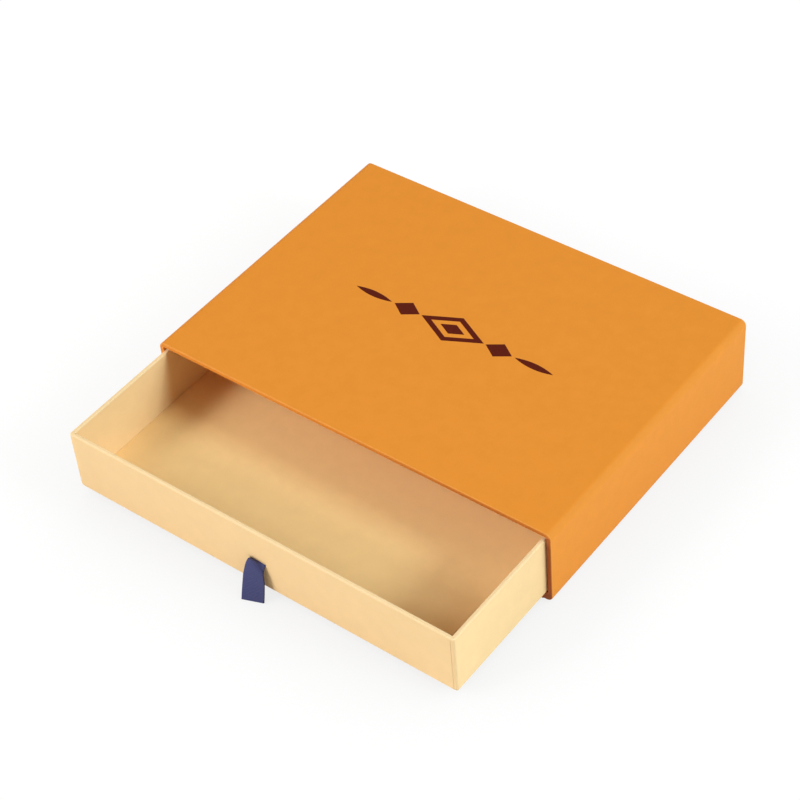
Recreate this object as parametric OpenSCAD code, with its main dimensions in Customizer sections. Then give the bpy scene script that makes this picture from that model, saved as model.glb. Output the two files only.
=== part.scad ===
// Sliding drawer gift box: a wrapped board sleeve, closed at the back, and a
// wrapped tray that slides out of it on a ribbon pull.
// Millimetres, +Z up. The origin is the centre of the sleeve's underside, the
// drawer slides out towards -Y, and it stands partly open.

/* [Sleeve] */
// Outside width of the sleeve
sleeve_width = 210; // [150:1:300]
// Outside depth of the sleeve, from its mouth to its back
sleeve_depth = 152; // [110:1:240]
// Outside height of the sleeve
sleeve_height = 40.5; // [32:0.5:80]
// Thickness of the sleeve's board
sleeve_board_t = 2.0; // [1.2:0.1:3]
// Inside radius of the sleeve's folded long edges
bend_radius = 0.9; // [0.5:0.1:3]

/* [Drawer] */
// Thickness of the tray's board
tray_board_t = 1.5; // [1:0.1:2.5]
// Outside radius of the tray's upright corners
tray_corner = 1.0; // [0.5:0.1:3]
// Thickness of the loose card on the tray's floor
liner_card = 0.8; // [0.4:0.1:2]
// How far the tray stands out of the sleeve as it is shown
drawer_out = 62; // [20:1:90]
// Clearance between the tray and the sleeve on each side
side_gap = 0.6; // [0.3:0.1:1.5]
// Clearance above the tray
top_gap = 1.5; // [0.5:0.1:3]
// Clearance under the tray
floor_gap = 0.3; // [0.2:0.1:1]
// Clearance behind the tray when it is pushed home
end_gap = 0.55; // [0.3:0.05:2]

/* [Paper] */
// Thickness of the covering paper
paper = 0.15; // [0.1:0.01:0.25]
// Width of the paper turned over an edge
turn_in = 15; // [8:1:20]
// Thickness of the gummed tape on the tray's corners
tape = 0.1; // [0.06:0.01:0.2]
// Width of each leg of the corner tape
tape_leg = 12; // [8:1:20]

/* [Ribbon pull] */
// Width of the ribbon
ribbon_width = 10; // [6:1:25]
// Thickness of the ribbon
ribbon_t = 0.3; // [0.2:0.05:0.6]
// Height of the slit above the tray's underside
slit_rise = 14.2; // [11:0.1:18]
// Distance of the slit from the middle of the tray, to the right
slit_aside = 1.2; // [-30:0.1:30]
// Radius of the ribbon where it turns down out of the slit
arch_radius = 3.2; // [2:0.1:6]
// Lean of the hanging loop away from the tray, in degrees
loop_lean = 13; // [0:1:25]
// Turn of the loop's lower end about the vertical, in degrees
loop_twist = 20; // [-30:1:30]
// Length of each ribbon end glued inside the tray
tail = 9; // [5:0.5:10]

/* [Hidden] */
$fn = 48;

orange = "#eb9438";
cream = "#f7d29a";
card = "#f2bd84";
grey_board = "#b3a999";
kraft = "#b98a58";
ribbon_blue = "#4e5076";

glue_line = 0.1;     // between the two glued layers of the sleeve's floor
fit_gap = 0.05;      // round a glued board or a ribbon ply
sheet_margin = 1.5;  // a pasted sheet stops this far short of the edge it covers
back_tab = 3.5;      // the base sheet's short turn up the back
over = 1;            // cutters pass this far through

// --- sleeve, from the outside in ---
mouth_y = -sleeve_depth / 2;
back_y = sleeve_depth / 2;
board_out = paper;                                 // board's outer face, in from the sides and the top
board_in = paper + sleeve_board_t;                 // its inner face
lined_in = board_in + paper;                       // the lining's face, which the tray slides in
board_low = 2 * paper;                             // underside of the outer floor
lap_low = board_low + sleeve_board_t + glue_line;  // underside of the inner floor
floor_z = lap_low + sleeve_board_t;                // top of the inner floor
edge_radius = bend_radius + board_in;              // outside radius of the wrapped edge
end_face = back_y - 2 * paper;                     // outer face of the back board
end_inner = end_face - sleeve_board_t;             // its inner face
base_half = sleeve_width / 2 - edge_radius - sheet_margin;

// --- tray, from the sleeve's inside and the clearances ---
tray_half = sleeve_width / 2 - lined_in - side_gap;
tray_low = floor_z + paper + floor_gap;
tray_top = sleeve_height - lined_in - top_gap;
tray_depth = end_inner - paper - end_gap - mouth_y;
tray_front = mouth_y - drawer_out;
tray_back = tray_front + tray_depth;
wall_out = paper;
wall_in = paper + tray_board_t;
skin_in = wall_in + paper;
blank_low = tray_low + 2 * paper;
blank_floor = blank_low + tray_board_t;

// --- ribbon ---
slit_z = tray_low + slit_rise;
ply = (ribbon_t + 2 * fit_gap) / 2;             // each ply's middle, above or below the slit's middle
slit_height = 2 * ply + ribbon_t + 4 * fit_gap;
slit_width = ribbon_width + 1;
tail_bend = ribbon_t / 2 + 2 * fit_gap;         // radius of the ribbon's middle where it turns up or down inside
tail_depth = wall_in + fit_gap + ribbon_t / 2;  // the tails' middle, in from the tray's front
pocket = 3 * fit_gap + ribbon_t + tape;         // depth of the bulge over the tails
ground_gap = 0.3;                               // under the loop

// ---------- shared shapes ----------
// Upright rectangle from low to high, half wide each way, with round corners
module panel(half, low, high, radius) {
    translate([-half, low + radius]) square([2 * half, high - low - 2 * radius]);
    translate([-half + radius, low]) square([2 * (half - radius), high - low]);
    for (x = [-half + radius, half - radius], z = [low + radius, high - radius])
        translate([x, z]) circle(radius);
}

// Carries a section in X and Z along Y
module along_y(from, to) {
    translate([0, to, 0]) rotate([90, 0, 0]) linear_extrude(to - from) children();
}

// Carries a plan in X and Y up Z
module up_z(from, to) {
    translate([0, 0, from]) linear_extrude(to - from) children();
}

module block(x0, x1, y0, y1, z0, z1) {
    translate([x0, y0, z0]) cube([x1 - x0, y1 - y0, z1 - z0]);
}

// Section of the sleeve at a depth in from its outside, over a given floor
module sleeve_section(inset, low) {
    panel(sleeve_width / 2 - inset, low, sleeve_height - inset, edge_radius - inset);
}

// ---------- sleeve ----------
// One board folded round four long edges. The floor is double: the right
// wall carries the outer flap and the left wall the inner one.
module board_strip(low) {
    difference() {
        sleeve_section(board_out, low);
        sleeve_section(board_in, low + sleeve_board_t);
    }
}

module sleeve_board() {
    left_bend = -sleeve_width / 2 + edge_radius;
    right_bend = sleeve_width / 2 - edge_radius;
    color(grey_board)
    along_y(mouth_y + paper, end_face) union() {
        intersection() {
            board_strip(board_low);
            translate([left_bend, 0]) square([sleeve_width, sleeve_height]);
        }
        intersection() {
            board_strip(lap_low);
            translate([right_bend - sleeve_width, 0]) square([sleeve_width, sleeve_height]);
        }
    }
}

module sleeve_back_board() {
    color(grey_board)
    along_y(end_inner, end_face) sleeve_section(board_in + fit_gap, floor_z + fit_gap);
}

// Paper on the underside, turned over the floor's front edge into the mouth
// and a little way up the back. Its middle lies on the board, between the
// turned edges of the wrap.
module base_sheet_form() union() {
    block(-base_half, base_half, mouth_y, back_y - paper, 0, paper);
    block(turn_in - sleeve_width / 2, sleeve_width / 2 - turn_in, mouth_y, end_face, 0, board_low);
    block(-base_half, base_half, mouth_y, mouth_y + paper, 0, floor_z + paper);
    block(-base_half, base_half, mouth_y, mouth_y + turn_in, floor_z, floor_z + paper);
    block(-base_half, base_half, end_face, back_y - paper, 0, back_tab);
}

module sleeve_base_sheet() {
    color(orange) base_sheet_form();
}

// Paper over the top and sides, turned under the base, round the mouth and
// over the back
module sleeve_wrap() {
    color(orange)
    difference() {
        union() {
            difference() {
                along_y(mouth_y, back_y - paper) sleeve_section(0, paper);
                along_y(mouth_y + paper, end_face) sleeve_section(board_out, board_low);
            }
            along_y(mouth_y, mouth_y + turn_in) sleeve_section(board_in, floor_z);
        }
        along_y(mouth_y - over, mouth_y + turn_in + over) sleeve_section(lined_in, floor_z + paper);
        block(turn_in - sleeve_width / 2, sleeve_width / 2 - turn_in,
              end_face - over, back_y, -over, sleeve_height - turn_in);
        base_sheet_form();
    }
}

module sleeve_back_sheet() {
    color(orange) union() {
        along_y(back_y - paper, back_y)
            panel(sleeve_width / 2 - sheet_margin, sheet_margin, sleeve_height - sheet_margin,
                  edge_radius - sheet_margin);
        block(turn_in - sleeve_width / 2, sleeve_width / 2 - turn_in,
              end_face, back_y, back_tab, sleeve_height - turn_in);
    }
}

module sleeve_lining() {
    color(orange)
    along_y(mouth_y + turn_in, end_inner - paper) difference() {
        sleeve_section(board_in, floor_z);
        sleeve_section(lined_in, floor_z + paper);
    }
}

module sleeve_end_lining() {
    color(orange)
    along_y(end_inner - paper, end_inner) sleeve_section(board_in, floor_z);
}

// ---------- tray ----------
// Plan of the tray at a depth in from its outside; square where the depth
// passes the corner radius
module tray_plan(inset) {
    radius = max(tray_corner - inset, 0);
    half = tray_half - inset;
    front = tray_front + inset;
    back = tray_back - inset;
    if (radius > 0.05) panel(half, front, back, radius);
    else translate([-half, front]) square([2 * half, back - front]);
}

module slit_cut() {
    block(slit_aside - slit_width / 2, slit_aside + slit_width / 2,
          tray_front - over, tray_front + wall_in,
          slit_z - slit_height / 2, slit_z + slit_height / 2);
}

// A cross-shaped blank with its four walls folded up. The front and back
// walls stand between the side walls and meet them in open butt joints.
module tray_board() {
    joint = 2 * fit_gap;
    color(grey_board)
    difference() {
        up_z(blank_low, tray_top - paper) tray_plan(wall_out);
        up_z(blank_floor, tray_top) tray_plan(wall_in);
        for (side = [-1, 1], y = [tray_front, tray_back - wall_in])
            translate([side * (tray_half - wall_in - joint / 2), y + wall_in / 2, 0])
                block(-joint / 2, joint / 2, -wall_in, wall_in, blank_floor, tray_top);
        slit_cut();
    }
}

// Region round one upright corner; x_side and y_side are -1 or 1
module corner_region(x_side, y_side, leg, low, high) {
    middle_y = (tray_front + tray_back) / 2;
    half_depth = tray_depth / 2;
    translate([0, middle_y, 0]) scale_corner(x_side, y_side)
        block(tray_half - leg, tray_half + over, half_depth - leg, half_depth + over, low, high);
}

module scale_corner(x_side, y_side) {
    mirror([x_side < 0 ? 1 : 0, 0, 0]) mirror([0, y_side < 0 ? 1 : 0, 0]) children();
}

// Gummed tape round one corner of the blank, from below the rim to above the
// fold; grow adds to its thickness, leg and height
module stay_form(x_side, y_side, grow) {
    intersection() {
        up_z(blank_low, tray_top) difference() {
            tray_plan(wall_out - tape - grow);
            tray_plan(wall_out);
        }
        corner_region(x_side, y_side, tape_leg + grow, blank_low + 1 - grow, tray_top - paper - 2 + grow);
    }
}

module tray_stay(x_side, y_side) {
    color(kraft) stay_form(x_side, y_side, 0);
}

// Bulge in the inner skin over the ribbon's glued ends; grow is the skin
module tail_pocket(grow) {
    block(slit_aside - ribbon_width / 2 - 1.2 - grow, slit_aside + ribbon_width / 2 + 1.2 + grow,
          tray_front + wall_in, tray_front + wall_in + pocket + grow,
          slit_z - tail - 1 - grow, slit_z + tail + 1 + grow);
}

// Paper over the outside of the walls, over the rim and down the inside to
// the floor, and turned under the base
module tray_wrap() {
    color(cream)
    difference() {
        union() {
            difference() {
                up_z(tray_low + paper, tray_top) tray_plan(0);
                up_z(blank_low, tray_top - paper) tray_plan(wall_out);
            }
            up_z(blank_floor, tray_top - paper) difference() {
                tray_plan(wall_in);
                tray_plan(skin_in);
            }
            for (x_side = [-1, 1], y_side = [-1, 1]) stay_form(x_side, y_side, paper);
            tail_pocket(paper);
        }
        for (x_side = [-1, 1], y_side = [-1, 1]) stay_form(x_side, y_side, 0);
        tail_pocket(0);
        up_z(tray_top - paper - over / 10, tray_top + over) tray_plan(skin_in);
        up_z(tray_low, blank_low + over / 10) tray_plan(turn_in);
        slit_cut();
    }
}

module tray_base_sheet() {
    color(cream) union() {
        up_z(tray_low, tray_low + paper) tray_plan(sheet_margin);
        up_z(tray_low, blank_low) tray_plan(turn_in);
    }
}

module tray_floor_liner() {
    color(card)
    up_z(blank_floor, blank_floor + liner_card) tray_plan(skin_in + 2 * fit_gap);
}

// ---------- ribbon ----------
// The ribbon's middle line as [out, up, heading]: out from the tray's front,
// up from the slit's middle, and the heading in degrees in that plane. It
// comes down inside, goes out through the slit, arches over, leans out to the
// ground, folds, and comes back the same way one ply further in.
function arc(out, up, radius, from, to, steps, turn) =
    [for (i = [0 : steps]) let (a = from + (to - from) * i / steps)
        [out + radius * cos(a), up + radius * sin(a), a + turn]];

function run(from, to, heading, steps) =
    [for (i = [1 : steps - 1]) [from[0] + (to[0] - from[0]) * i / steps,
                                from[1] + (to[1] - from[1]) * i / steps, heading]];

lean_out = [sin(loop_lean), -cos(loop_lean)];
arch_up = ply - arch_radius;
arch_end = [arch_radius * cos(loop_lean), arch_up + arch_radius * sin(loop_lean)];
loop_low = ground_gap + ribbon_t / 2 + ply - slit_z;
loop_end = arch_end + lean_out * (arch_end[1] - loop_low) / cos(loop_lean);
fold_middle = loop_end - [cos(loop_lean), sin(loop_lean)] * ply;
back_end = fold_middle - [cos(loop_lean), sin(loop_lean)] * ply;
inner_arch = arch_radius - 2 * ply;
inner_start = [inner_arch * cos(loop_lean), arch_up + inner_arch * sin(loop_lean)];
tail_out = -tail_depth + tail_bend;

ribbon_line = concat(
    [[-tail_depth, tail, -90]],
    arc(tail_out, ply + tail_bend, tail_bend, 180, 270, 4, 90),
    arc(0, arch_up, arch_radius, 90, loop_lean, 10, -90),
    run(arch_end, loop_end, loop_lean - 90, 8),
    arc(fold_middle[0], fold_middle[1], ply, loop_lean, loop_lean - 180, 8, -90),
    run(back_end, inner_start, loop_lean + 90, 8),
    arc(0, arch_up, inner_arch, loop_lean, 90, 10, 90),
    arc(tail_out, -ply - tail_bend, tail_bend, 90, 180, 4, 90),
    [[-tail_depth, -tail, 270]]);

// The turn about the vertical grows with the drop below the slit
function twist_at(point) =
    point[0] <= 0 ? 0 : loop_twist * sin(90 * min(1, max(0, -ply - point[1]) / (-ply - loop_low)));

function ribbon_ring(point) =
    let (turn = twist_at(point),
         across = [cos(turn), sin(turn), 0] * ribbon_width / 2,
         outward = [sin(turn), -cos(turn), 0],
         normal = (-sin(point[2]) * outward + cos(point[2]) * [0, 0, 1]) * ribbon_t / 2,
         middle = [slit_aside, tray_front - point[0], slit_z + point[1]])
    [middle - across - normal, middle + across - normal, middle + across + normal, middle - across + normal];

module pull_ribbon() {
    rings = len(ribbon_line);
    points = [for (point = ribbon_line) each ribbon_ring(point)];
    sides = [for (i = [0 : rings - 2], k = [0 : 3])
        let (a = 4 * i + k, b = 4 * i + (k + 1) % 4)
        each [[a, b, b + 4], [a, b + 4, a + 4]]];
    last = 4 * (rings - 1);
    ends = [[0, 3, 2], [0, 2, 1], [last, last + 1, last + 2], [last, last + 2, last + 3]];
    color(ribbon_blue) polyhedron(points, concat(sides, ends), convexity = 6);
}

// Tape over the ribbon's ends, under the inner skin
module ribbon_patch() {
    face = tray_front + wall_in + 2 * fit_gap + ribbon_t;
    color(kraft)
    block(slit_aside - ribbon_width / 2 - 1, slit_aside + ribbon_width / 2 + 1,
          face, face + tape, slit_z - tail - 0.5, slit_z + tail + 0.5);
}

sleeve_board();
sleeve_back_board();
sleeve_wrap();
sleeve_base_sheet();
sleeve_back_sheet();
sleeve_lining();
sleeve_end_lining();
tray_board();
tray_stay(-1, -1);  // tray_stay_front_left
tray_stay(1, -1);  // tray_stay_front_right
tray_stay(-1, 1);  // tray_stay_back_left
tray_stay(1, 1);  // tray_stay_back_right
tray_wrap();
tray_base_sheet();
tray_floor_liner();
pull_ribbon();
ribbon_patch();
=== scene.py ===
"""Sliding drawer gift box: papers, ribbon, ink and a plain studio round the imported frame.

Lengths are metres in the frame's axes: X runs along the box's width, -Y is
the way the drawer slides out, Z is up, and the origin is under the middle of
the sleeve.
"""

import bpy
import numpy as np
from mathutils import Matrix, Vector


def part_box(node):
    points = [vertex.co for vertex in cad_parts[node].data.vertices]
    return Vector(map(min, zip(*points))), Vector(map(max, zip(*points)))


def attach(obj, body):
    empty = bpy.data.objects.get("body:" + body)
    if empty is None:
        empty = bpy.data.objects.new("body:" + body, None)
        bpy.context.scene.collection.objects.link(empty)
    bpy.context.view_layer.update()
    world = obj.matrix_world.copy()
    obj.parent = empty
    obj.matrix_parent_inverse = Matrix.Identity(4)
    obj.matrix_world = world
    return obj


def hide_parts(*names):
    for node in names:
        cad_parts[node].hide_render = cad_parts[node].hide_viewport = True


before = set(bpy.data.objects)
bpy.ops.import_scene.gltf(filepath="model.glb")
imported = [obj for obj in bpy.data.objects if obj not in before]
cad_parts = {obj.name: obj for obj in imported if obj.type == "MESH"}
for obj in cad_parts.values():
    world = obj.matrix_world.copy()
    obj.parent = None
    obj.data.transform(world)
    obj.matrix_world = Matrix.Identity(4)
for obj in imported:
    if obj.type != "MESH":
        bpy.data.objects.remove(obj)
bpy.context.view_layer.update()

bl_info = {
    "name": "Sliding drawer gift box",
    "version": (1, 0, 0),
    "blender": (4, 5, 0),
    "location": "3D View > Sidebar > Gift Box",
    "description": "Papers, ribbon, ink and studio for a paper-covered box with a sliding drawer",
    "category": "Add Mesh",
}

MM = 0.001


def linear(code):
    """Turns an sRGB hex colour into the linear red, green and blue that shaders take."""
    values = np.array([int(code[i:i + 2], 16) for i in (1, 3, 5)]) / 255
    return tuple(np.where(values <= 0.04045, values / 12.92, ((values + 0.055) / 1.055) ** 2.4))


# Places that the frame gives
wrap_low, wrap_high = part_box("sleeve_wrap")
tray_low, tray_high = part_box("tray_wrap")
liner_low, liner_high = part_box("tray_floor_liner")
patch_low, patch_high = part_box("ribbon_patch")
SLIT_X = (patch_low.x + patch_high.x) / 2
SLIT_Z = (patch_low.z + patch_high.z) / 2

# Where a paper's rows stand at a fold: the angles round it, and how far beside it the next row is
FOLD_TURN = np.linspace(0, np.pi / 2, 7)
BESIDE_FOLD = 0.25 * MM
# How far above the tray's base a corner tape's lower edge starts, and where it has its full height
TAPE_EDGE = np.array([1.0, 1.4]) * MM
WHITE = (1.0, 1.0, 1.0, 1.0)


# ---------- sizes and colours ----------
def length(name, text, default, low, high):
    return bpy.props.FloatProperty(name=name, description=text, default=default, min=low, max=high,
                                   subtype="DISTANCE", unit="LENGTH", precision=5)


def colour(name, text, code):
    return bpy.props.FloatVectorProperty(name=name, description=text, default=linear(code), min=0.0,
                                         max=1.0, size=3, subtype="COLOR")


def watts(name, text, default):
    return bpy.props.FloatProperty(name=name, description=text, default=default, min=0.0, max=200.0,
                                   subtype="POWER", unit="POWER")


class GiftBoxSleeve(bpy.types.PropertyGroup):
    paper: length("Paper", "Thickness of the covering paper", 0.15 * MM, 0.05 * MM, 0.3 * MM)
    fold: length("Fold radius", "Outside radius of the paper over a board's edge", 0.5 * MM, 0.2 * MM,
                 0.5 * MM)
    turn_in: length("Turn-in", "Width of the paper turned over an edge", 15 * MM, 8 * MM, 20 * MM)
    edge: length("Edge radius", "Outside radius of the long edges", 3.05 * MM, 2.5 * MM, 4 * MM)
    bow: length("Bow", "How far the lid wanders from flat", 0.06 * MM, 0.0, 0.2 * MM)
    orange: colour("Paper colour", "Colour of the sleeve's paper", "#E08B2F")
    # painted shade: the darker colour painted round the mouth where the drawer shades the rim
    painted_shade: colour("Painted shade", "Colour of the shade-painted fold round the mouth", "#A95829")
    ink: colour("Ink", "Colour of the printed ornament", "#521506")


class GiftBoxTray(bpy.types.PropertyGroup):
    paper: length("Paper", "Thickness of the covering paper", 0.15 * MM, 0.05 * MM, 0.3 * MM)
    fold: length("Fold radius", "Outside radius of the paper over a board's edge", 0.5 * MM, 0.2 * MM,
                 0.5 * MM)
    turn_in: length("Turn-in", "Width of the paper turned under the base", 15 * MM, 8 * MM, 20 * MM)
    lap: length("Lap", "Height of a paper flap's edge over the paper below it", 0.1 * MM, 0.0, 0.2 * MM)
    wall: length("Wall", "Thickness of a wall with its two papers", 1.8 * MM, 1.5 * MM, 2.2 * MM)
    corner: length("Corner radius", "Outside radius of the four corners", 1.0 * MM, 0.5 * MM, 2 * MM)
    cream: colour("Paper colour", "Colour of the tray's paper", "#EECB97")
    card: colour("Floor colour", "Colour of the card on the tray's floor", "#FCD596")


class GiftBoxRibbon(bpy.types.PropertyGroup):
    width: length("Width", "Width of the ribbon", 10 * MM, 6 * MM, 12 * MM)
    thickness: length("Thickness", "Thickness of the ribbon over its ribs", 0.3 * MM, 0.2 * MM, 0.35 * MM)
    rib: length("Rib spacing", "Distance from one woven rib to the next", 0.8 * MM, 0.4 * MM, 1.5 * MM)
    blue: colour("Colour", "Colour of the ribbon", "#424573")


class GiftBoxStudio(bpy.types.PropertyGroup):
    sky: bpy.props.FloatProperty(name="Sky", description="Strength of the even light from all round",
                                 default=0.28, min=0.0, max=2.0)
    front: watts("Front lamp", "Watts of the small lamp in front", 25.5)
    left: watts("Left lamp", "Watts of the wide lamp at the front left", 38.5)
    side: watts("Side lamp", "Watts of the lamp at the right", 45.0)
    back: watts("Back lamp", "Watts of the widest lamp, at the right and behind", 37.0)
    floor: colour("Floor", "Colour of the floor", "#F4F4F2")


# ---------- surfaces ----------
def grid_faces(rows, columns, close_rows=True, close_columns=True):
    """Quads of a grid: cell (i, j) joins (i, j), (i, j + 1), (i + 1, j + 1) and (i + 1, j), and the
    last row or column joins the first one where the grid closes on itself."""
    i = np.arange(rows if close_rows else rows - 1)[:, None]
    j = np.arange(columns if close_columns else columns - 1)[None, :]
    after_i, after_j = (i + 1) % rows, (j + 1) % columns
    corners = np.broadcast_arrays(i * columns + j, i * columns + after_j,
                                  after_i * columns + after_j, after_i * columns + j)
    return np.stack(corners, axis=-1).reshape(-1, 4)


def end_loops(rows, columns):
    """The two loops that close the ends of a grid whose columns run round it."""
    last = (rows - 1) * columns
    return [np.arange(columns)[::-1], last + np.arange(columns)]


def signed_volume(points, quads):
    """Sum over the quads' two triangles of (a . b x c) / 6, which is positive where faces point outwards."""
    a, b, c, d = (points[quads[:, k]] for k in range(4))
    return ((a * np.cross(b, c)).sum() + (a * np.cross(c, d)).sum()) / 6


def add_object(name, data):
    """An object that holds the data, linked to the scene."""
    item = bpy.data.objects.new(name, data)
    bpy.context.scene.collection.objects.link(item)
    return item


def add_piece(name, parts, material, body, stands_for=(), shades=None, uv=None, smooth=True):
    """Puts parts, each (points, quads, end loops), into one mesh that rides on a body. The shades are
    named values from 0 to 1 at the points, for the material. A piece with square edges isn't smooth."""
    points, faces, start = [], [], 0
    for part_points, quads, ends in parts:
        flat = part_points.reshape(-1, 3)
        turned = signed_volume(flat, quads) < 0
        faces += (start + (quads[:, ::-1] if turned else quads)).tolist()
        faces += [(start + (end[::-1] if turned else end)).tolist() for end in ends]
        points.append(flat)
        start += len(flat)
    points = np.concatenate(points)
    mesh = bpy.data.meshes.new(name)
    mesh.from_pydata(points.tolist(), [], faces)
    mesh.polygons.foreach_set("use_smooth", [smooth] * len(faces))
    for key, value in (shades or {}).items():
        mesh.attributes.new(key, "FLOAT", "POINT").data.foreach_set("value", value.ravel().astype(np.float32))
    if uv is not None:
        corner = np.empty(len(mesh.loops), np.int32)
        mesh.loops.foreach_get("vertex_index", corner)
        mesh.uv_layers.new(name="UVMap").uv.foreach_set("vector", uv.reshape(-1, 2)[corner].ravel())
    mesh.validate()
    mesh.update()
    mesh.materials.append(material)
    piece = add_object(name, mesh)
    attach(piece, body)
    if stands_for:
        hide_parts(*stands_for)
    return piece


def stations(ends, middle):
    """Places along a side as (share of its half straight, offset) pairs: each distance in ends from
    both its ends, and the offsets in middle from its centre, in order from low to high."""
    ends = np.asarray(ends, float)
    middle = np.unique(np.round(np.asarray(middle, float), 8))
    low = np.stack([-np.ones_like(ends), ends], axis=1)
    centre = np.stack([np.zeros_like(middle), middle], axis=1)
    high = np.stack([np.ones_like(ends), -ends], axis=1)[::-1]
    return np.concatenate([low, centre, high])


def round_rectangle(half, low, high, radius, lower, right, upper, steps):
    """Rounded rectangles, one for each entry of half, low, high and radius: straights at the stations
    lower, right and upper (the left is the right's mirror) joined by quarter circles of steps cells.
    Gives points and outward normals, each (rows, columns, 2), from the lower left round the right."""
    half, low, high, radius = (np.asarray(v, float)[:, None] for v in (half, low, high, radius))
    along, middle, rise = half - radius, (low + high) / 2, (high - low) / 2 - radius
    turn = np.linspace(0, np.pi / 2, steps + 1)[1:-1]
    points, normals = [], []

    def straight(places, x_of, y_of, normal):
        t = places[:, 0] * (along if normal[0] == 0 else rise) + places[:, 1]
        points.append(np.stack([x_of(t), y_of(t)], axis=-1))
        normals.append(np.broadcast_to(np.array(normal, float), points[-1].shape))

    def quarter(x_side, y_side, start):
        angle = start + turn
        facing = np.stack([np.cos(angle), np.sin(angle)], axis=-1)
        normal = np.broadcast_to(facing, (len(half), len(angle), 2))
        centre = np.stack([x_side * along, middle + y_side * rise], axis=-1)
        points.append(centre + radius[..., None] * normal)
        normals.append(normal)

    straight(lower, lambda t: t, lambda t: low + 0 * t, (0, -1))
    quarter(1, -1, -np.pi / 2)
    straight(right, lambda t: half + 0 * t, lambda t: middle + t, (1, 0))
    quarter(1, 1, 0)
    straight(upper[::-1], lambda t: t, lambda t: high + 0 * t, (0, 1))
    quarter(-1, 1, np.pi / 2)
    straight(right[::-1], lambda t: -half + 0 * t, lambda t: middle + t, (-1, 0))
    quarter(-1, -1, np.pi)
    return np.concatenate(points, axis=1), np.concatenate(normals, axis=1)


def smooth_step(value, start, end):
    """0 before start, 1 after end, and 3t^2 - 2t^3 between them."""
    t = np.clip((value - start) / (end - start), 0, 1)
    return t * t * (3 - 2 * t)


def wander(x, y, size):
    """A slow unevenness of at most size: the mean of three cosine waves that cross. Each is given by
    its millimetres from crest to crest along X and along Y, and its phase."""
    waves = ((90, 61, 0.4), (47, -83, 2.1), (-38, 55, 4.0))
    return size / 3 * sum(np.cos(2 * np.pi * (x / (a * MM) + y / (b * MM)) + c) for a, b, c in waves)


# ---------- materials ----------
def add_node(tree, kind, inputs=None, **settings):
    """Adds a node, makes its settings and fills its inputs; an input given a socket is linked to it."""
    node = tree.nodes.new("ShaderNode" + kind)
    for name, value in settings.items():
        setattr(node, name, value)
    for key, value in (inputs or {}).items():
        if isinstance(value, bpy.types.NodeSocket):
            tree.links.new(value, node.inputs[key])
        else:
            node.inputs[key].default_value = value
    return node


def new_material(name):
    """An empty node material and its tree."""
    material = bpy.data.materials.new(name)
    material.use_nodes = True
    material.node_tree.nodes.clear()
    return material, material.node_tree


def finish_material(tree, **inputs):
    """Closes a tree with a Principled shader; double underscores stand for spaces in a socket's name."""
    shader = add_node(tree, "BsdfPrincipled", {k.replace("__", " "): v for k, v in inputs.items()})
    add_node(tree, "OutputMaterial", {"Surface": shader.outputs["BSDF"]})


def opaque(colour_value):
    """A colour with its alpha, as sockets take it."""
    return tuple(colour_value) + (1.0,)


def shade(colour_value, factor):
    """A colour made lighter or darker, kept within 0 to 1."""
    return opaque(min(1.0, c * factor) for c in colour_value)


def object_place(tree):
    """The place on a piece, in metres."""
    return add_node(tree, "TexCoord").outputs["Object"]


def noise(tree, place, size, detail, roughness=0.5):
    """Cloudy noise from 0 to 1, with its largest clouds about size across."""
    return add_node(tree, "TexNoise", {"Vector": place, "Scale": 1 / size, "Detail": detail,
                                       "Roughness": roughness}).outputs["Fac"]


def stretched(tree, place, sizes, rotation=(0.0, 0.0, 0.0)):
    """A place turned and divided by three sizes, so that noise of size 1 there has those sizes."""
    return add_node(tree, "Mapping", {"Vector": place, "Rotation": rotation,
                                      "Scale": tuple(1 / size for size in sizes)}).outputs["Vector"]


def remap(tree, value, low, high, to_low=0.0, to_high=1.0):
    """A value carried from low and high to to_low and to_high, and held between those."""
    return add_node(tree, "MapRange", {"Value": value, "From Min": low, "From Max": high,
                                       "To Min": to_low, "To Max": to_high}).outputs["Result"]


def calculate(tree, operation, *values):
    """What a maths node makes of sockets and numbers."""
    return add_node(tree, "Math", dict(enumerate(values)), operation=operation).outputs["Value"]


def mixed(tree, share, first, second):
    """The colour that goes from the first to the second as share goes from 0 to 1."""
    return add_node(tree, "Mix", {0: share, 6: first, 7: second}, data_type="RGBA").outputs[2]


def bumped(tree, height, strength, depth):
    """Normals tilted by a height, whose 0 to 1 is a depth in metres."""
    return add_node(tree, "Bump", {"Height": height, "Strength": strength,
                                   "Distance": depth}).outputs["Normal"]


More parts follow.
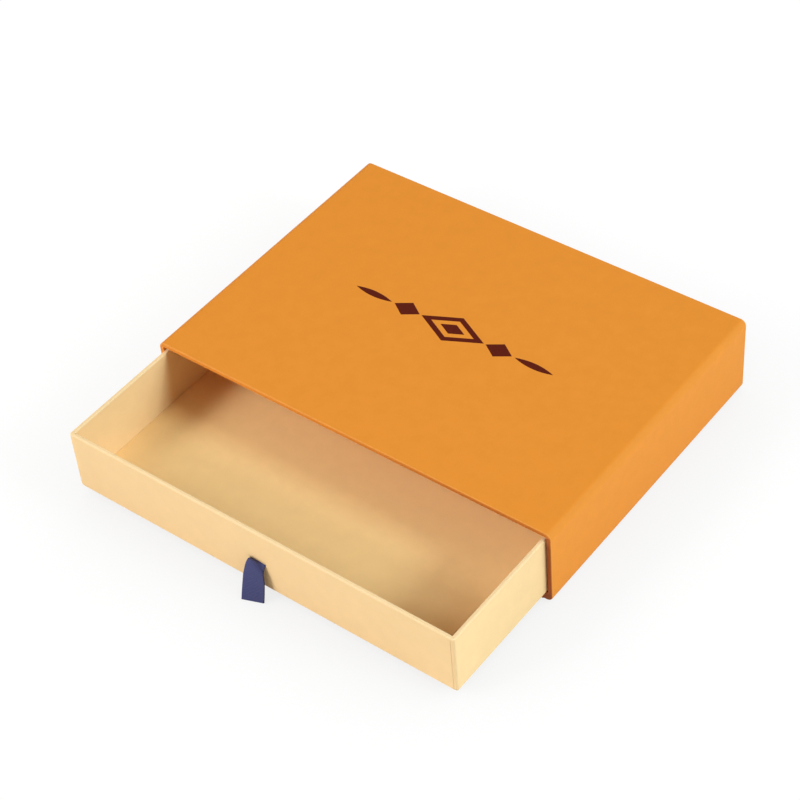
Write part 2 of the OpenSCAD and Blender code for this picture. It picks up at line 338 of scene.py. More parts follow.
def wrapping_paper(name, colour_value, wear_and_highlight_colour, roughness, painted_shade_colour=None):
    """Uncoated wrapping paper, dyed through, felt-marked on the machine and glued down.
    The eye gets a matte face, clouds of denser and thinner pulp about 7 mm across, a grain of
    0.6 mm, short fibres 1.6 mm long, and folds that are a little paler, partly as wear where the
    fibres broke and partly as a painted highlight. Where the mesh marks painted shade, the paper takes
    the darker painted-shade colour. Each name is made once."""
    if name in bpy.data.materials:
        return bpy.data.materials[name]
    material, tree = new_material(name)
    place = object_place(tree)
    clouds = noise(tree, place, 7 * MM, 3.0, 0.55)
    grain = noise(tree, place, 0.6 * MM, 2.0, 0.6)
    fibres = noise(tree, stretched(tree, place, (0.35 * MM, 1.6 * MM, 0.35 * MM), (0.3, 0.2, 0.9)), 1.0, 1.0)
    base = mixed(tree, remap(tree, clouds, 0.3, 0.7), shade(colour_value, 0.98), shade(colour_value, 1.015))
    base = mixed(tree, remap(tree, fibres, 0.62, 0.78, 0.0, 0.35), base, shade(colour_value, 1.09))
    # folds paler: partly wear along the grain, partly a painted highlight where the folds catch the light
    fold = add_node(tree, "Attribute", attribute_name="fold").outputs["Fac"]
    fold_wear_and_highlight = remap(tree, calculate(tree, "MULTIPLY", fold, grain), 0.15, 0.6, 0.0, 0.35)
    base = mixed(tree, fold_wear_and_highlight, base, opaque(wear_and_highlight_colour))
    # painted shade: the darker colour on the sleeve's mouth where the drawer shades it
    if painted_shade_colour is not None:
        painted_shade_mask = add_node(tree, "Attribute", attribute_name="painted_shade_mask").outputs["Fac"]
        base = mixed(tree, painted_shade_mask, base, opaque(painted_shade_colour))
    height = calculate(tree, "MULTIPLY_ADD", fibres, 0.5, grain)
    finish_material(tree, Base__Color=base, IOR=1.46, Specular__IOR__Level=0.18,
                    Roughness=remap(tree, grain, 0.3, 0.7, roughness - 0.05, roughness + 0.07),
                    Normal=bumped(tree, height, 0.5, 0.03 * MM))
    return material


def orange_paper(scene):
    sleeve = scene.gift_box_sleeve
    # the paler fold colour is partly wear and partly a painted highlight; the sleeve's last colour is painted
    # shade for the mouth's rim
    return wrapping_paper("dyed wrapping paper, orange", sleeve.orange, linear("#ECA75A"), 0.58,
                          sleeve.painted_shade)


def cream_paper(scene):
    return wrapping_paper("dyed wrapping paper, cream", scene.gift_box_tray.cream, linear("#FFE9C0"), 0.6)


def floor_card(scene):
    return wrapping_paper("cream faced card", scene.gift_box_tray.card, linear("#FDE3B6"), 0.6)


def grey_board():
    """Solid greyboard pressed from waste paper: dull grey-brown, with darker and paler pulp flecks
    1.2 mm across and a rough cut face."""
    material, tree = new_material("greyboard")
    pulp = noise(tree, object_place(tree), 1.2 * MM, 4.0, 0.7)
    base = mixed(tree, pulp, opaque(linear("#9C9384")), opaque(linear("#C6BEAF")))
    finish_material(tree, Base__Color=base, Roughness=0.85, IOR=1.45,
                    Normal=bumped(tree, pulp, 0.6, 0.06 * MM))
    return material


def kraft_tape():
    """Gummed kraft paper, machine-glazed: brown, with stripes of fibre 4 mm long and 0.5 mm wide."""
    material, tree = new_material("gummed kraft paper")
    fibres = noise(tree, stretched(tree, object_place(tree), (0.5 * MM, 0.5 * MM, 4 * MM)), 1.0, 3.0)
    base = mixed(tree, fibres, opaque(linear("#A9794A")), opaque(linear("#C79B68")))
    finish_material(tree, Base__Color=base, Roughness=0.55, IOR=1.47,
                    Normal=bumped(tree, fibres, 0.4, 0.03 * MM))
    return material


def grosgrain(colour_value, rib):
    """Woven grosgrain ribbon of dyed polyester: cross ribs, each of warp threads 0.18 mm apart that
    pass over it, and a soft sheen. Its colour is painted darker between the ribs as painted shade and
    a little lighter on their crowns as a painted highlight. U runs along the ribbon and V across it,
    both in metres."""
    material, tree = new_material("polyester grosgrain")
    place = add_node(tree, "UVMap", uv_map="UVMap").outputs["UV"]
    split = add_node(tree, "SeparateXYZ", {"Vector": place})
    along = calculate(tree, "MULTIPLY", split.outputs["X"], np.pi / rib)
    crown = calculate(tree, "ABSOLUTE", calculate(tree, "COSINE", along))
    across = calculate(tree, "MULTIPLY", split.outputs["Y"], np.pi / (0.18 * MM))
    thread = calculate(tree, "ABSOLUTE", calculate(tree, "SINE", across))
    fuzz = noise(tree, place, 0.9 * MM, 2.0)
    # painted shade between the ribs and a painted highlight on their crowns
    base = mixed(tree, crown, shade(colour_value, 0.62), shade(colour_value, 1.06))
    base = mixed(tree, remap(tree, fuzz, 0.35, 0.7, 0.0, 0.3), base, shade(colour_value, 1.25))
    height = calculate(tree, "MULTIPLY_ADD", thread, 0.3, crown)
    finish_material(tree, Base__Color=base, Roughness=0.66, IOR=1.5, Specular__IOR__Level=0.22,
                    Sheen__Weight=0.12, Sheen__Roughness=0.4, Normal=bumped(tree, height, 0.6, 0.06 * MM))
    return material


def printed_ink(colour_value):
    """Screen-printed ink, lying on the paper's grain: matte, with a faint mottle 0.8 mm across where
    the film is thinner over the grain."""
    material, tree = new_material("screen-printed ink")
    film = noise(tree, object_place(tree), 0.8 * MM, 3.0)
    base = mixed(tree, film, shade(colour_value, 0.85), shade(colour_value, 1.3))
    finish_material(tree, Base__Color=base, Roughness=0.7, IOR=1.45, Specular__IOR__Level=0.12,
                    Normal=bumped(tree, film, 0.4, 0.02 * MM))
    return material


def dress(nodes, material):
    """Gives CAD nodes a material in place of their own."""
    for name in nodes:
        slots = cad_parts[name].data.materials
        slots.clear()
        slots.append(material)


# ---------- sleeve ----------
def sleeve_rows(s):
    """The paper's path in from its turned-in edge, round the mouth, along the outside, over the back
    and home along the board's side. Each row is (inset of the section, share of the way to the inner
    section, distance from there towards the inside, place along Y, how folded, how much painted shade)."""
    mouth, back = wrap_low.y, wrap_high.y
    r, p, near = s.fold, s.paper, BESIDE_FOLD
    sharp = 3 * MM
    run = np.linspace(mouth + r, back - r, 34)[1:-1]
    rows = [(0, 1, 0, y, 0, 1) for y in (mouth + s.turn_in, mouth + 4 * MM, mouth + r + near)]
    rows += [(0, 1, -r * (1 - np.cos(a)), mouth + r - r * np.sin(a), 1, 1) for a in FOLD_TURN]
    rows += [(0, 1, -r - near, mouth, 0.3, 1), (0, 0, r + near, mouth, 0.3, 1)]
    rows += [(0, 0, r * (1 - np.sin(a)), mouth + r - r * np.cos(a), 1, 1 - np.sin(a)) for a in FOLD_TURN]
    rows += [(0, 0, 0, mouth + r + near, 0.3, 0)] + [(0, 0, 0, y, 0, 0) for y in run]
    rows += [(0, 0, 0, back - r - near, 0.3, 0)]
    rows += [(r * (1 - np.cos(a)), 0, 0, back - r + r * np.sin(a), 1, 0) for a in FOLD_TURN]
    rows += [(r + near, 0, 0, back, 0.3, 0), (sharp, 0, 0, back, 0, 0), (s.turn_in, 0, 0, back, 0, 0)]
    rows += [(s.turn_in, 0, 0, back - p, 0, 0), (sharp, 0, 0, back - p, 0, 0)]
    rows += [(p + near, 0, 0, back - p, 0, 0), (p, 0, 0, back - p - near, 0, 0)]
    rows += [(p, 0, 0, mouth + p + near, 0, 0), (p, 0, 0, mouth + p, 0, 0)]
    rows += [(0, 1, -p, mouth + p, 0, 0), (0, 1, -p, mouth + s.turn_in, 0, 0)]
    return np.array(rows, float)


def build_sleeve_cover(scene):
    """The paper's section is the sleeve's rounded rectangle. Each row of the path shrinks it by an
    inset, moves it a share of the way to the inner section, which is the mouth's clear opening, and
    then along the line between the two sections by a distance."""
    s = scene.gift_box_sleeve
    inset, share, shift, y, row_fold, row_painted_shade = sleeve_rows(s).T
    half, low, high = wrap_high.x, wrap_low.z, wrap_high.z
    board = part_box("sleeve_lining")[0].x + s.paper - wrap_low.x
    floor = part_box("sleeve_base_sheet")[1].z
    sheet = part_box("sleeve_base_sheet")[1]
    ends = np.array([0, 0.3, 1.2, 3]) * MM
    along = np.linspace(-96, 96, 41) * MM
    sides = (stations(ends, np.append(along, [-sheet.x, sheet.x])),
             stations(ends, np.linspace(-10, 10, 7) * MM), stations(ends, along), 12)
    outer, normal = round_rectangle(half - inset, low + inset, high - inset,
                                    np.maximum(s.edge - inset, 0.3 * MM), *sides)
    inner, _ = round_rectangle([half - board], [floor], [high - board], [s.edge - board], *sides)
    plain, _ = round_rectangle([half], [low], [high], [s.edge], *sides)
    across = inner - plain
    across /= np.linalg.norm(across, axis=-1, keepdims=True)
    section = outer + share[:, None, None] * (inner - plain) + shift[:, None, None] * across
    x, z = section[..., 0], section[..., 1]
    y = np.broadcast_to(y[:, None], x.shape)

    # under the base sheet the paper dips below its own faces, so that the sheet lies over it
    under = normal[..., 1] < -0.99
    dip = 0.07 * MM * under * smooth_step(-np.abs(x), -sheet.x - 0.3 * MM, -sheet.x)
    y = np.clip(y, wrap_low.y + dip, wrap_high.y - dip)
    z = np.clip(z, low + dip, np.where(under & (share[:, None] == 1), floor - dip, high))

    # the lid wanders from flat, but not near its folds, its ends or the turned-in paper
    calm = 12 * MM
    free = smooth_step(y, wrap_low.y, wrap_low.y + calm) * smooth_step(-y, -wrap_high.y, -wrap_high.y + calm)
    free = free * (share[:, None] == 0) * (inset[:, None] == 0) * (normal[..., 1] > 0.99)
    free = free * smooth_step(np.abs(x), half - s.edge, half - s.edge - 15 * MM)
    points = np.stack([x, y, z + free * wander(x, y, s.bow)], axis=-1)

    # a fold is palest at its rows, and a quarter as much round a long edge: partly wear, partly a painted
    # highlight
    bend = (1 - np.max(np.abs(normal), axis=-1)) / 0.3
    fold = np.maximum(row_fold[:, None], 0.25 * bend * (inset[:, None] < 4 * MM))
    # painted shade round the mouth, where the drawer shades it: strongest on its right, less along the top
    # and fading towards the left
    painted_shade_mask = row_painted_shade[:, None] * smooth_step(x, -40 * MM, 80 * MM) * (1 - 0.45 * (normal[..., 1] > 0.5))
    add_piece("sleeve_cover", [(points, grid_faces(*x.shape), [])], orange_paper(scene), "sleeve",
              ["sleeve_wrap"], shades={"fold": fold * (1 - painted_shade_mask), "painted_shade_mask": painted_shade_mask})
    dress(["sleeve_base_sheet", "sleeve_back_sheet", "sleeve_lining", "sleeve_end_lining"],
          orange_paper(scene))


def ink_band(x, low, high, bottom, top, bow):
    """Ink between two curves over x: the section at each x is a flat rectangle from low to high and
    from bottom to top, and follows the lid's unevenness."""
    zeros = np.zeros_like(x)
    ring = np.stack([np.stack([x, low, zeros + bottom], -1), np.stack([x, high, zeros + bottom], -1),
                     np.stack([x, high, zeros + top], -1), np.stack([x, low, zeros + top], -1)], axis=1)
    ring[..., 2] += wander(ring[..., 0], ring[..., 1], bow)
    last = 4 * (len(x) - 1)
    ends = [np.array([3, 2, 1, 0]), np.array([last, last + 1, last + 2, last + 3])]
    return ring, grid_faces(len(x), 4, close_rows=False), ends


def lozenge(x, centre, reach, rise):
    """Height of a lozenge's upper edge over x: rise (1 - |x - centre| / reach), and 0 beyond it."""
    return np.maximum(rise * (1 - np.abs(x - centre) / reach), 0)


def build_ornament(scene):
    """A printer's divider in the middle of the lid: an open lozenge round a small solid one, a solid
    lozenge on each side, and a swelled rule beyond, whose half height is h (1 - t^2) over t in -1 to 1.
    The film of ink stands 0.02 mm above the paper, and is shaded flat."""
    bottom, face = wrap_high.z - 0.05 * MM, wrap_high.z + 0.02 * MM
    centre = Vector((0.0, 1.5)) * MM
    tip = 0.02 * MM
    parts = []

    def add(x, low, high):
        parts.append(ink_band(x + centre.x, low + centre.y, high + centre.y, bottom, face,
                              scene.gift_box_sleeve.bow))

    x = np.unique(np.concatenate([np.linspace(-17, 17, 69), [-11.6, 11.6]])) * MM
    outer, inner = lozenge(x, 0, 17 * MM, 8.5 * MM), lozenge(x, 0, 11.6 * MM, 5.8 * MM)
    add(x, inner, outer + tip)
    add(x, -outer - tip, -inner)
    for place, reach, rise in ((0, 6.5, 3.25), (-25, 7.0, 4.6), (25, 7.0, 4.6)):
        x = np.linspace(place - reach, place + reach, 21) * MM
        edge = lozenge(x, place * MM, reach * MM, rise * MM) + tip
        add(x, -edge, edge)
    for side in (-1, 1):
        t = np.linspace(-1, 1, 41)
        x = (side * 43.5 + 10 * t) * MM
        edge = 1.7 * MM * (1 - t * t) + tip
        add(x, -edge, edge)
    add_piece("lid_ornament", parts, printed_ink(scene.gift_box_sleeve.ink), "sleeve", smooth=False)


# ---------- tray ----------
def tray_rows(s, base, rim, floor):
    """The paper's path from under the base, up the wall, over the rim, down to the floor and home
    along the board. Each row is (inset, height, outward part of the normal, upward part, how folded,
    face), where the face is 1 outside the wall, 2 inside it, 3 elsewhere in the open and 0 against
    the board."""
    r, p, near, wall = s.fold, s.paper, BESIDE_FOLD, s.wall
    slit = np.array([-6, -2, -0.47, -0.43, 0.43, 0.47, 2, 6]) * MM + SLIT_Z
    up = np.concatenate([np.linspace(base + r, rim - r, 12)[1:-1], slit, base + TAPE_EDGE,
                         rim - 2 * MM - TAPE_EDGE])
    up = np.sort(np.append(up, [base + r + near, rim - r - near]))
    down = np.sort(np.concatenate([np.linspace(floor, rim - r, 10)[:-1], [rim - r - near],
                                   SLIT_Z + np.linspace(-12, 12, 13) * MM]))[::-1]
    rows = [(d, base, 0, -1, 0, 3) for d in (s.turn_in, 5 * MM, r + near)]
    rows += [(r - r * np.sin(a), base + r - r * np.cos(a), np.sin(a), -np.cos(a), 0.7, 3) for a in FOLD_TURN]
    rows += [(0, z, 1, 0, 0, 1) for z in up]
    rows += [(r - r * np.cos(a), rim - r + r * np.sin(a), np.cos(a), np.sin(a), 1, 3) for a in FOLD_TURN]
    rows += [(r + near, rim, 0, 1, 0.5, 3), (wall - r - near, rim, 0, 1, 0.5, 3)]
    rows += [(wall - r + r * np.sin(a), rim - r + r * np.cos(a), -np.sin(a), np.cos(a), 1, 3)
             for a in FOLD_TURN]
    rows += [(wall, z, -1, 0, 0, 2) for z in down]
    rows += [(wall - p, floor, 1, 0, 0, 0), (wall - p, rim - p, 1, 0, 0, 0), (p, rim - p, -1, 0, 0, 0),
             (p, base + p, -1, 0, 0, 0), (s.turn_in, base + p, 0, 1, 0, 0)]
    return np.array(rows, float)


def build_tray_cover(scene):
    """The paper's plan is the tray's rounded rectangle, shrunk by each row's inset. Along its normal it
    stands off by the tapes on the corners and by the front and back flaps, whose edges stop 0.6 mm
    short of the corners' bends. The slit is sunk in the front, and the ribbon's ends bulge inside it."""
    s = scene.gift_box_tray
    base, rim = tray_low.z, tray_high.z
    half, front, back = tray_high.x, tray_low.y, tray_high.y
    tape_lift, tape_push = 0.1 * MM, 0.12 * MM
    slit_half, slit_depth, bulge_lift = 0.44 * MM, 1.55 * MM, 0.55 * MM
    inset, z, out, up, row_fold, face = tray_rows(s, base, rim, liner_low.z + 0.02 * MM).T
    outside, inside = face[:, None] == 1, face[:, None] == 2

    pocket = np.array([-8.5, -7.2, -6.2, -5, 0, 5, 6.2, 7.2, 8.5]) * MM + SLIT_X
    slit_ends = np.array([-4.2, 4.4]) * MM + SLIT_X
    slit = np.concatenate([slit_ends, slit_ends + np.array([-0.05, 0.05]) * MM])
    ends = np.array([0, 0.3, 0.6, 0.64, 1.0, 2, 5, 10.5, 12]) * MM
    along = np.linspace(-88, 88, 31) * MM
    radius = np.maximum(s.corner - inset, 0.25 * MM)
    # the tapes push the side walls in, so the paper's inner faces are further in there too
    across = half - inset - tape_push * (inset > s.wall / 2)
    plan, normal = round_rectangle(across, front + inset, back - inset, radius,
                                   stations(ends, np.concatenate([along, slit, pocket])),
                                   stations(ends, np.linspace(-60, 60, 21) * MM), stations(ends, along), 8)
    x, y = plan[..., 0], plan[..., 1]
    z = np.broadcast_to(z[:, None], x.shape)

    # the tapes on the corners, and the flaps that stop short of them
    reach = np.maximum(half - np.abs(x), np.minimum(y - front, back - y))
    tape = tape_lift * smooth_step(-reach, -12.2 * MM, -11.8 * MM) * outside
    tape = tape * smooth_step(z, *(base + TAPE_EDGE)) * smooth_step(-z, 2.2 * MM - rim, 2.6 * MM - rim)
    straight = (across - radius)[:, None] - np.abs(x)
    flap = s.lap * (np.abs(normal[..., 1]) > 0.99) * smooth_step(straight, 0.6 * MM, 0.64 * MM)
    lift = flap * (face[:, None] > 0) + tape

    # the slit, and the bulge over the ribbon's ends
    aside, above = np.abs(x - SLIT_X), np.abs(z - SLIT_Z)
    on_front = normal[..., 1] < -0.99
    in_slit = on_front & outside & (above < slit_half)
    in_slit = in_slit & (x > slit_ends[0] - 0.01 * MM) & (x < slit_ends[1] + 0.01 * MM)
    bulge = smooth_step(-aside, -7.4 * MM, -6.0 * MM) * smooth_step(-above, -11.2 * MM, -9.8 * MM)
    lift = lift + bulge_lift * bulge * on_front * inside - slit_depth * in_slit
    points = np.stack([x + lift * out[:, None] * normal[..., 0], y + lift * out[:, None] * normal[..., 1],
                       z + lift * up[:, None]], axis=-1)
    # the folds and the corners' bends are paler: partly wear, partly a painted highlight
    bend = (1 - np.max(np.abs(normal), axis=-1)) / 0.3
    fold = np.maximum(np.broadcast_to(row_fold[:, None], x.shape), 0.7 * np.minimum(bend, 1))
    add_piece("tray_cover", [(points, grid_faces(*x.shape), [])], cream_paper(scene), "drawer",
              ["tray_wrap"], shades={"fold": fold})
    dress(["tray_base_sheet"], cream_paper(scene))


def build_floor_liner(scene):
    """Card on the tray's floor, 0.05 mm wider all round than its CAD node: its plan shrinks from the
    edge to the middle over rows that first round the lower and upper edges, and its face rises and
    wanders a little."""
    low, high, wider, wave = liner_low, liner_high, 0.05 * MM, 0.05 * MM
    half, front, back = high.x + wider, low.y - wider, high.y + wider
    r = 0.06 * MM
    turn = np.linspace(0, np.pi / 2, 4)
    middle = (back - front) / 2 - 2 * MM
    rows = [(middle, low.z), (30 * MM, low.z)]
    rows += [(r - r * np.sin(a), low.z + r - r * np.cos(a)) for a in turn]
    rows += [(r - r * np.cos(a), high.z - r + r * np.sin(a)) for a in turn]
    rows += [(d * MM, high.z) for d in (0.4, 1, 3, 8, 15, 25, 36, 48, 60)] + [(middle, high.z)]
    inset, z = np.array(rows).T
    along = stations([0, 1 * MM, 5 * MM], np.linspace(-22, 22, 11) * MM)
    side = np.stack([np.linspace(-1, 1, 13), np.zeros(13)], axis=1)
    plan, _ = round_rectangle(half - inset, front + inset, back - inset, np.full(len(inset), 0.05 * MM),
                              along, side, along, 3)
    x, y = plan[..., 0], plan[..., 1]
    rise = smooth_step(inset, 1 * MM, 20 * MM) * (z == high.z)
    points = np.stack([x, y, z[:, None] + rise[:, None] * (wander(x, y, wave) + wave)], axis=-1)
    add_piece("floor_liner", [(points, grid_faces(*x.shape, close_rows=False), end_loops(*x.shape))],
              floor_card(scene), "drawer", ["tray_floor_liner"])


# ---------- ribbon ----------
def ribbon_line(thickness):
    """The ribbon's middle line in the plane across the tray's front, as (out from the front, up from
    the slit), in metres: down a glued end, out through the slit, over an arch, leaning out by 13
    degrees to the ground, round a fold and home the same way a ply further in, to the other glued
    end. Gives the line, the height of its lowest part's middle and half the distance of the plies."""
    lean, ply = 13, 0.2 * MM
    tail, tail_depth, turn = 9 * MM, 1.85 * MM, 0.25 * MM
    arch = 3.2 * MM
    lowest = 0.3 * MM + thickness / 2 + ply - SLIT_Z

    def bow(out, up, radius, start, end, steps):
        angle = np.radians(np.linspace(start, end, steps))
        return np.stack([out + radius * np.cos(angle), up + radius * np.sin(angle)], axis=1)

    centre = ply - arch
    cosine, sine = np.cos(np.radians(lean)), np.sin(np.radians(lean))
    side = np.array([cosine, sine])
    leg_top = np.array([0, centre]) + arch * side
    leg_end = leg_top + np.array([sine, -cosine]) * (leg_top[1] - lowest) / cosine
    fold = leg_end - side * ply
    inside = turn - tail_depth
    return np.concatenate([
        [[-tail_depth, tail]], bow(inside, ply + turn, turn, 180, 270, 8),
        bow(0, centre, arch, 90, lean, 24), bow(*fold, ply, lean, lean - 180, 16),
        bow(0, centre, arch - 2 * ply, lean, 90, 24), bow(inside, -ply - turn, turn, 90, 180, 8),
        [[-tail_depth, -tail]]]), lowest, ply


def build_ribbon(scene):
    """A band carried along the ribbon's line: at each of its steps the section is width wide, with
    round edges, and its half thickness rises and falls by |cos| over each rib. Past the slit the band
    turns about the vertical, by 20 degrees at the ground. It is gathered to 0.78 of its width in the
    slit, and its top rolls there: at a distance s across it stands 1.1 - 0.4 s - 0.08 s^2 mm higher."""
    s = scene.gift_box_ribbon
    steps_per_rib, twist, narrowed = 8, 20, 0.78
    line, lowest, ply = ribbon_line(s.thickness)
    gaps = np.linalg.norm(np.diff(line, axis=0), axis=1)
    travelled = np.concatenate([[0], np.cumsum(gaps)])
    total = travelled[-1]
    place = np.linspace(0, total, int(total / (s.rib / steps_per_rib)))
    out, up = (np.interp(place, travelled, line[:, k]) for k in (0, 1))
    tangent = np.stack([np.gradient(out, place), np.gradient(up, place)], axis=1)
    tangent /= np.linalg.norm(tangent, axis=1, keepdims=True)

    # the band's middle, and its directions across and out of its face
    fallen = np.clip((-ply - up) / (-ply - lowest), 0, 1)
    turn = np.radians(twist) * np.sin(np.pi / 2 * fallen) * (out > 0)
    zeros, vertical = np.zeros_like(turn), np.array([0, 0, 1])
    across = np.stack([np.cos(turn), np.sin(turn), zeros], axis=1)
    outward = np.stack([np.sin(turn), -np.cos(turn), zeros], axis=1)
    normal = -tangent[:, 1:] * outward + tangent[:, :1] * vertical
    middle = np.stack([zeros + SLIT_X, tray_low.y - out, SLIT_Z + up], axis=1)

    # its section, from edge to edge and back: the share of the half width and of the half thickness
    q = np.sin(np.linspace(-np.pi / 2, np.pi / 2, 17))
    q = np.sign(q) * np.abs(q) ** 0.6
    round_edge = np.sqrt(np.clip(1 - np.clip((np.abs(q) - 0.965) / 0.035, 0, 1) ** 2, 0, 1))
    around = np.concatenate([q, q[-2:0:-1]])
    thick = np.concatenate([round_edge, -round_edge[-2:0:-1]])
    rib = 0.72 + 0.28 * np.abs(np.cos(np.pi * place / s.rib))
    gathered = 1 - smooth_step(np.hypot(out, up), 0, 9 * MM)
    share = (1 - (1 - narrowed) * gathered)[:, None]
    aside = around[None, :] * share * s.width / 2 + 0.1 * MM * gathered[:, None]
    rolled = smooth_step(out, 0, 1.8 * MM) * (1 - smooth_step(-up, 2 * MM, 10 * MM))
    rise = rolled[:, None] * (1.1 * MM - 0.4 * aside - 80 * aside ** 2)
    points = (middle[:, None] + aside[..., None] * across[:, None] + rise[..., None] * vertical
              + thick[None, :, None] * (rib * s.thickness / 2)[:, None, None] * normal[:, None])

    size = points.shape[:2]
    uv = np.stack(np.broadcast_arrays(place[:, None], around[None, :] * s.width / 2), axis=-1)
    piece = add_piece("ribbon_pull", [(points, grid_faces(*size, close_rows=False), end_loops(*size))],
                      grosgrain(s.blue, s.rib), "drawer", ["pull_ribbon"], uv=uv)


# ---------- stage ----------
def seen_white(tree):
    """1 for camera, glossy and transmission rays, which see the plain white background, and 0 for
    the light that reaches the object."""
    rays = add_node(tree, "LightPath").outputs
    mirrored = calculate(tree, "MAXIMUM", rays["Is Glossy Ray"], rays["Is Transmission Ray"])
    return calculate(tree, "MAXIMUM", rays["Is Camera Ray"], mirrored)


def build_camera():
    """The photograph's camera, from a solve on the box's straight edges."""
    data = bpy.data.cameras.new("camera")
    data.lens, data.sensor_width = 97.83, 36.0
    data.clip_start, data.clip_end = 0.01, 50.0
    right, up, forward = (Vector(v).normalized() for v in (
        (0.79576, 0.60180, -0.06789), (-0.38329, 0.58726, 0.71289), (-0.46889, 0.54127, -0.69798)))
    turn = Matrix((right, up, -forward)).transposed().to_4x4()
    camera = add_object("camera", data)
    camera.matrix_world = Matrix.Translation((0.44269, -0.54911, 0.68838)) @ turn
    bpy.context.scene.camera = camera


def build_floor(scene):
    """A wide flat floor just under the box. Rays that look at it straight, or in a mirror, see mostly
    even white, so that it fades into the background, dimmed within 60 mm of the box by as much as the
    box hides, and with a trace of the lamps' own shadows."""
    lines = np.linspace(-6, 6, 9)
    x, y = np.meshgrid(lines, lines)
    points = np.stack([x, y, np.full_like(x, -0.05 * MM)], axis=-1)
    mesh = bpy.data.meshes.new("floor")
    mesh.from_pydata(points.reshape(-1, 3).tolist(), [], grid_faces(*x.shape, False, False).tolist())
    material, tree = new_material("matte white backdrop paper")
    paper = add_node(tree, "BsdfDiffuse", {"Color": opaque(scene.gift_box_studio.floor), "Roughness": 0.5})
    hidden = add_node(tree, "AmbientOcclusion", {"Distance": 60 * MM}, samples=16)
    # the white glow is dimmed near the box as a painted shadow, by how much of the view the box hides
    dimmed = remap(tree, hidden.outputs["AO"], 0.0, 1.0, 0.85, 1.01)
    even = add_node(tree, "Emission", {"Color": WHITE, "Strength": dimmed})
    mostly_even = add_node(tree, "MixShader", {0: 0.92, 1: paper.outputs[0], 2: even.outputs[0]})
    seen = add_node(tree, "MixShader", {0: seen_white(tree), 1: paper.outputs[0], 2: mostly_even.outputs[0]})
    add_node(tree, "OutputMaterial", {"Surface": seen.outputs[0]})
    mesh.materials.append(material)
    floor = add_object("floor", mesh)


def build_world(scene):
    """Even, slightly warm light from all round, and plain white where it is seen."""
    world = bpy.data.worlds.new("studio")
    scene.world = world
    world.use_nodes = True
    tree = world.node_tree
    tree.nodes.clear()
    light = add_node(tree, "Background", {"Color": opaque(linear("#FFF1E4")),
                                          "Strength": scene.gift_box_studio.sky})
    white = add_node(tree, "Background", {"Color": WHITE, "Strength": 1.0})
    seen = add_node(tree, "MixShader", {0: seen_white(tree), 1: light.outputs[0], 2: white.outputs[0]})
    add_node(tree, "OutputWorld", {"Surface": seen.outputs[0]})


def add_lamp(name, bearing, height, size, power, tint="#FFFFFF"):
    """A square area lamp 3 m away that faces the box. The bearing is in degrees from the box's front
    towards its right, and the height in degrees above the table."""
    away = 3.0
    bearing, height = np.radians(bearing), np.radians(height)
    place = away * Vector((np.sin(bearing) * np.cos(height), -np.cos(bearing) * np.cos(height),
                           np.sin(height)))
    data = bpy.data.lights.new(name, "AREA")
    data.shape, data.size, data.energy, data.color = "SQUARE", size, power, linear(tint)
    lamp = add_object(name, data)
    lamp.location = place
    lamp.rotation_mode = "QUATERNION"
    lamp.rotation_quaternion = (-place).to_track_quat("-Z", "Y")


# ---------- operators ----------
class GIFT_BOX_OT_stage(bpy.types.Operator):
    """Camera, floor, world and lamps"""
    bl_idname = "gift_box.stage"
    bl_label = "Stage"

    def execute(self, context):
        scene = context.scene
        build_camera()
        build_floor(scene)
        build_world(scene)
        add_lamp("front lamp", -25, 30, 0.5, scene.gift_box_studio.front)
        add_lamp("left lamp", -38, 36, 1.2, scene.gift_box_studio.left)
        add_lamp("side lamp", 97, 30, 0.6, scene.gift_box_studio.side, "#E4FAFF")
        add_lamp("back lamp", 120, 35, 1.5, scene.gift_box_studio.back, "#EBFAFF")
        scene.view_settings.view_transform = "Standard"
        return {"FINISHED"}


class GIFT_BOX_OT_sleeve_cover(bpy.types.Operator):
    """Orange paper over the sleeve, and the sheets and linings beside it"""
    bl_idname = "gift_box.sleeve_cover"
    bl_label = "Sleeve cover"

    def execute(self, context):
        build_sleeve_cover(context.scene)
        return {"FINISHED"}


class GIFT_BOX_OT_ornament(bpy.types.Operator):
    """Printed divider in the middle of the lid"""
    bl_idname = "gift_box.ornament"
    bl_label = "Lid ornament"

    def execute(self, context):
        build_ornament(context.scene)
        return {"FINISHED"}


class GIFT_BOX_OT_tray_cover(bpy.types.Operator):
    """Cream paper over the tray's walls, with its rim, seams, slit and turned-in ends"""
    bl_idname = "gift_box.tray_cover"
    bl_label = "Tray cover"

    def execute(self, context):
        build_tray_cover(context.scene)
        return {"FINISHED"}


class GIFT_BOX_OT_floor_liner(bpy.types.Operator):
    """Card on the tray's floor"""
    bl_idname = "gift_box.floor_liner"
    bl_label = "Floor liner"

    def execute(self, context):
        build_floor_liner(context.scene)
        return {"FINISHED"}


class GIFT_BOX_OT_ribbon(bpy.types.Operator):
    """Folded ribbon pull in the slit of the tray's front"""
    bl_idname = "gift_box.ribbon"
    bl_label = "Ribbon pull"

    def execute(self, context):
        build_ribbon(context.scene)
        return {"FINISHED"}


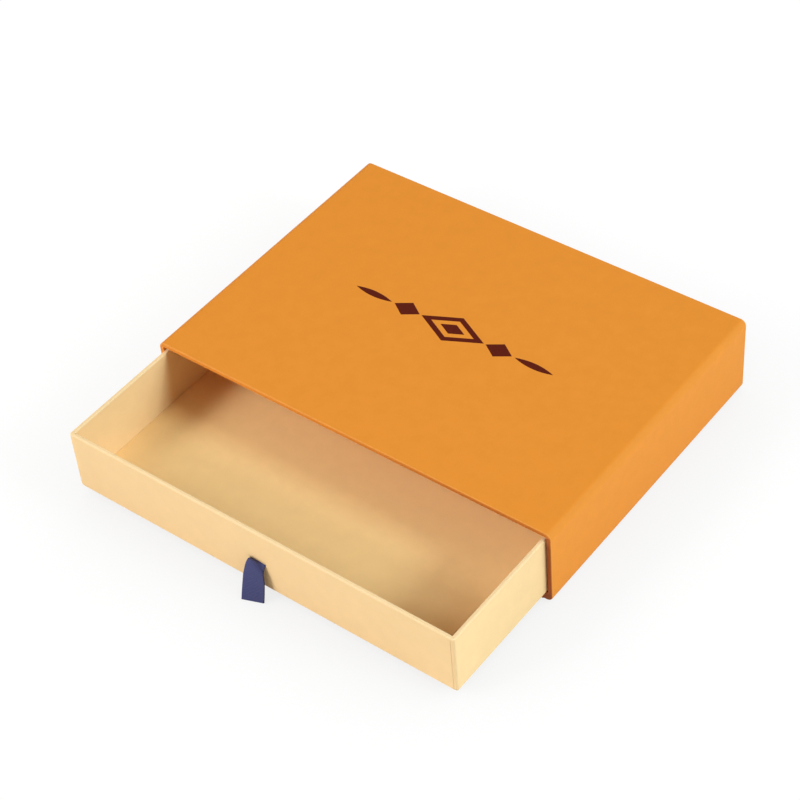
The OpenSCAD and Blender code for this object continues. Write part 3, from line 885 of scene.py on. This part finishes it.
class GIFT_BOX_OT_boards(bpy.types.Operator):
    """Materials of the boards and tapes under the papers"""
    bl_idname = "gift_box.boards"
    bl_label = "Boards and tapes"

    def execute(self, context):
        dress(["sleeve_board", "sleeve_back_board", "tray_board"], grey_board())
        dress(["tray_stay_front_left", "tray_stay_front_right", "tray_stay_back_left",
               "tray_stay_back_right", "ribbon_patch"], kraft_tape())
        return {"FINISHED"}


STEPS = (GIFT_BOX_OT_stage, GIFT_BOX_OT_sleeve_cover, GIFT_BOX_OT_ornament, GIFT_BOX_OT_tray_cover,
         GIFT_BOX_OT_floor_liner, GIFT_BOX_OT_ribbon, GIFT_BOX_OT_boards)
SETTINGS = {"gift_box_sleeve": GiftBoxSleeve, "gift_box_tray": GiftBoxTray, "gift_box_ribbon": GiftBoxRibbon,
            "gift_box_studio": GiftBoxStudio}


class GIFT_BOX_PT_panel(bpy.types.Panel):
    """Sizes, colours and steps of the gift box"""
    bl_idname = "GIFT_BOX_PT_panel"
    bl_label = "Sliding drawer gift box"
    bl_space_type = "VIEW_3D"
    bl_region_type = "UI"
    bl_category = "Gift Box"

    def draw(self, context):
        for group, kind in SETTINGS.items():
            box = self.layout.box()
            box.label(text=kind.__name__.replace("GiftBox", ""))
            for name in kind.__annotations__:
                box.prop(getattr(context.scene, group), name)
        for step in STEPS:
            self.layout.operator(step.bl_idname)


def register():
    for kind in (*SETTINGS.values(), *STEPS, GIFT_BOX_PT_panel):
        bpy.utils.register_class(kind)
    for name, kind in SETTINGS.items():
        setattr(bpy.types.Scene, name, bpy.props.PointerProperty(type=kind))


def unregister():
    for name in SETTINGS:
        delattr(bpy.types.Scene, name)
    for kind in (GIFT_BOX_PT_panel, *reversed(STEPS), *SETTINGS.values()):
        bpy.utils.unregister_class(kind)


def main():
    register()
    bpy.ops.gift_box.stage()
    bpy.ops.gift_box.sleeve_cover()
    bpy.ops.gift_box.ornament()
    bpy.ops.gift_box.tray_cover()
    bpy.ops.gift_box.floor_liner()
    bpy.ops.gift_box.ribbon()
    bpy.ops.gift_box.boards()


if __name__ == "__main__":
    main()
